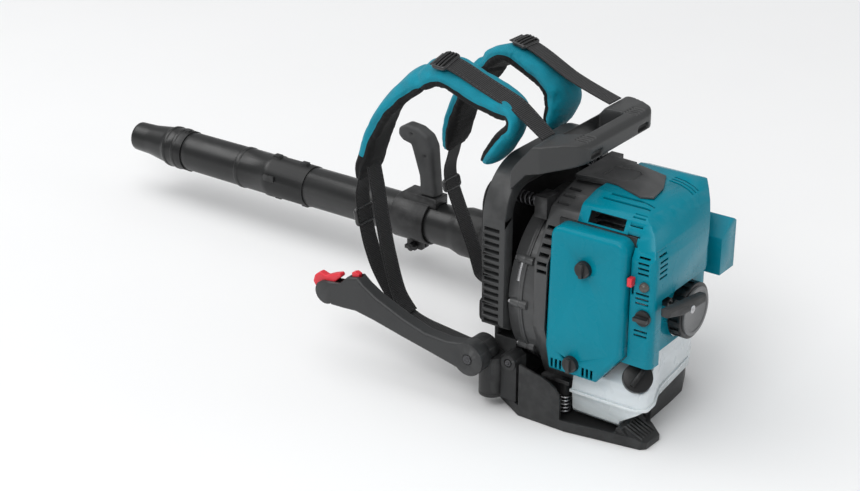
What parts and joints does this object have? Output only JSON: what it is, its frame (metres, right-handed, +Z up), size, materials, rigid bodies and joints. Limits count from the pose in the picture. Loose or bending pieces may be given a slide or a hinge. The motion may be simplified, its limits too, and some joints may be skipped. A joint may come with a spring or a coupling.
{
  "type": "backpack leaf blower",
  "caption": "Backpack leaf blower: harness frame with engine, fan and fuel tank, side blower tube with corrugated joint and grip, and a jointed throttle arm.",
  "frame": {"origin": "centre of the base's underside, on the ground", "axes": "+Y is the wearer's forward direction and the way the tube points, +X the wearer's right, +Z up"},
  "size_m": [0.454, 1.46, 0.578],
  "materials": {
    "frame_plastic": "moulded, fine grain",
    "housing_plastic": "moulded, satin",
    "cover_teal": "moulded, semi-gloss",
    "tank_white": "translucent, satin",
    "knob_black": "moulded, satin",
    "lever_red": "moulded",
    "rubber_black": "matt",
    "aluminium_cast": "as cast",
    "steel": "machined",
    "pad_fabric": "woven over foam",
    "webbing_black": "woven polyester",
    "pad_teal": "coated nylon over foam",
    "starter_grey": "satin",
    "filter_foam": "pleated",
    "bulb_clear": "soft, smoky"
  },
  "bodies": {
    "machine": {"back_frame": "frame_plastic", "carry_handle": "frame_plastic", "frame_base": "frame_plastic", "outlet_elbow": "housing_plastic", "flexible_bellows": "rubber_black", "volute_front": "housing_plastic", "volute_rear": "housing_plastic", "volute_screws": "steel", "intake_guard": "knob_black", "fan_shroud": "housing_plastic", "top_plate": "housing_plastic", "engine_cover": "cover_teal", "exhaust_guard": "cover_teal", "air_cleaner_base": "knob_black", "crankcase": "aluminium_cast", "cylinder": "aluminium_cast", "ignition": "steel", "carburetor": "aluminium_cast", "muffler": "steel", "air_filter": "filter_foam", "starter_housing": "knob_black", "starter_disc": "starter_grey", "fuel_tank": "tank_white", "engine_mount": "housing_plastic", "mount_springs": "steel", "back_pad": "pad_fabric", "hip_pad": "pad_fabric", "left_shoulder_pad": "pad_teal", "right_shoulder_pad": "pad_teal", "left_webbing": "webbing_black", "right_webbing": "webbing_black", "load_lifters": "webbing_black", "buckles": "knob_black", "arm_bracket": "frame_plastic"},
    "post": {"arm_post": "frame_plastic"},
    "arm": {"control_arm": "frame_plastic"},
    "throttle": {"throttle_lever": "lever_red"},
    "switch": {"stop_switch": "lever_red"},
    "pull": {"starter_handle": "rubber_black", "starter_rope": "webbing_black"},
    "reel": {"starter_reel": "knob_black"},
    "crank": {"crankshaft": "steel", "flywheel": "aluminium_cast", "impeller": "aluminium_cast"},
    "piston": {"piston": "aluminium_cast"},
    "tank_cap": {"fuel_cap": "knob_black"},
    "cleaner_cover": {"air_cleaner_cover": "cover_teal"},
    "knob_up": {"upper_knob": "knob_black"},
    "knob_low": {"lower_knob": "knob_black"},
    "choke": {"choke_lever": "lever_red"},
    "bulb": {"primer_bulb": "bulb_clear"},
    "oil_filler": {"oil_cap": "knob_black"},
    "collar": {"duct_collar": "knob_black"},
    "tube": {"swivel_pipe": "housing_plastic", "straight_pipe": "housing_plastic", "nozzle": "housing_plastic", "grip_clamp": "knob_black", "hand_grip": "rubber_black"},
    "clamp_screw": {"clamp_knob": "knob_black"}
  },
  "joints": [
    {"name": "arm_yaw", "type": "hinge", "parent": "machine", "child": "post", "pos_m": [-0.144, 0.118, 0.06], "axis": [0, 0, 1], "range_deg": [0, 15]},
    {"name": "arm_pitch", "type": "hinge", "parent": "post", "child": "arm", "pos_m": [-0.18, 0.134, 0.098], "axis": [1, 0, 0], "range_deg": [-20, 75]},
    {"name": "throttle_press", "type": "hinge", "parent": "arm", "child": "throttle", "pos_m": [-0.1795, 0.431, 0.133], "axis": [-1, 0, 0], "range_deg": [0, 25], "stiffness_Nm_per_rad": 0.12, "springref_deg": -5.73},
    {"name": "stop_rock", "type": "hinge", "parent": "arm", "child": "switch", "pos_m": [-0.179, 0.371, 0.174], "axis": [1, 0, 0], "range_deg": [-12, 12]},
    {"name": "starter_pull", "type": "slide", "parent": "machine", "child": "pull", "axis": [0, -1, 0], "range_m": [0, 0.75]},
    {"name": "reel_spin", "type": "hinge", "parent": "machine", "child": "reel", "pos_m": [0, -0.155, 0.2], "axis": [0, 1, 0], "range_deg": [0, 1310]},
    {"name": "crank_spin", "type": "hinge", "parent": "machine", "child": "crank", "pos_m": [0, 0, 0.2], "axis": [0, 1, 0], "continuous": true},
    {"name": "piston_stroke", "type": "slide", "parent": "machine", "child": "piston", "axis": [0, 0, 1], "range_m": [-0.02, 0.02]},
    {"name": "fuel_cap_turn", "type": "hinge", "parent": "machine", "child": "tank_cap", "pos_m": [-0.1, -0.128, 0.104], "axis": [-0.6217, -0.5014, 0.6017], "range_deg": [0, 120]},
    {"name": "cleaner_lift_off", "type": "slide", "parent": "machine", "child": "cleaner_cover", "axis": [-1, 0, 0], "range_m": [0, 0.1]},
    {"name": "upper_knob_turn", "type": "hinge", "parent": "cleaner_cover", "child": "knob_up", "pos_m": [-0.155, -0.056, 0.299], "axis": [1, 0, 0], "range_deg": [0, 90]},
    {"name": "lower_knob_turn", "type": "hinge", "parent": "cleaner_cover", "child": "knob_low", "pos_m": [-0.155, -0.039, 0.128], "axis": [1, 0, 0], "range_deg": [0, 90]},
    {"name": "choke_slide", "type": "slide", "parent": "machine", "child": "choke", "axis": [0, 0, -1], "range_m": [0, 0.018]},
    {"name": "primer_press", "type": "slide", "parent": "machine", "child": "bulb", "axis": [1, 0, 0], "range_m": [0, 0.004], "stiffness_N_per_m": 400},
    {"name": "oil_cap_turn", "type": "hinge", "parent": "machine", "child": "oil_filler", "pos_m": [-0.14, -0.156, 0.238], "axis": [1, 0, 0], "range_deg": [0, 90]},
    {"name": "tube_tilt", "type": "hinge", "parent": "machine", "child": "collar", "pos_m": [0.21, 0.225, 0.107], "axis": [1, 0, 0], "range_deg": [-10, 15], "deforming": ["flexible_bellows"]},
    {"name": "tube_swivel", "type": "hinge", "parent": "collar", "child": "tube", "pos_m": [0.21, 0.33, 0.107], "axis": [0, 1, 0], "range_deg": [-60, 60]},
    {"name": "clamp_knob_turn", "type": "hinge", "parent": "tube", "child": "clamp_screw", "pos_m": [0.2, 0.53, 0.053], "axis": [1, 0, 0], "range_deg": [0, 180]}
  ],
  "couplings": [
    {"joint": "reel_spin", "follows": "starter_pull", "rad_per_m": 29.412}
  ]
}
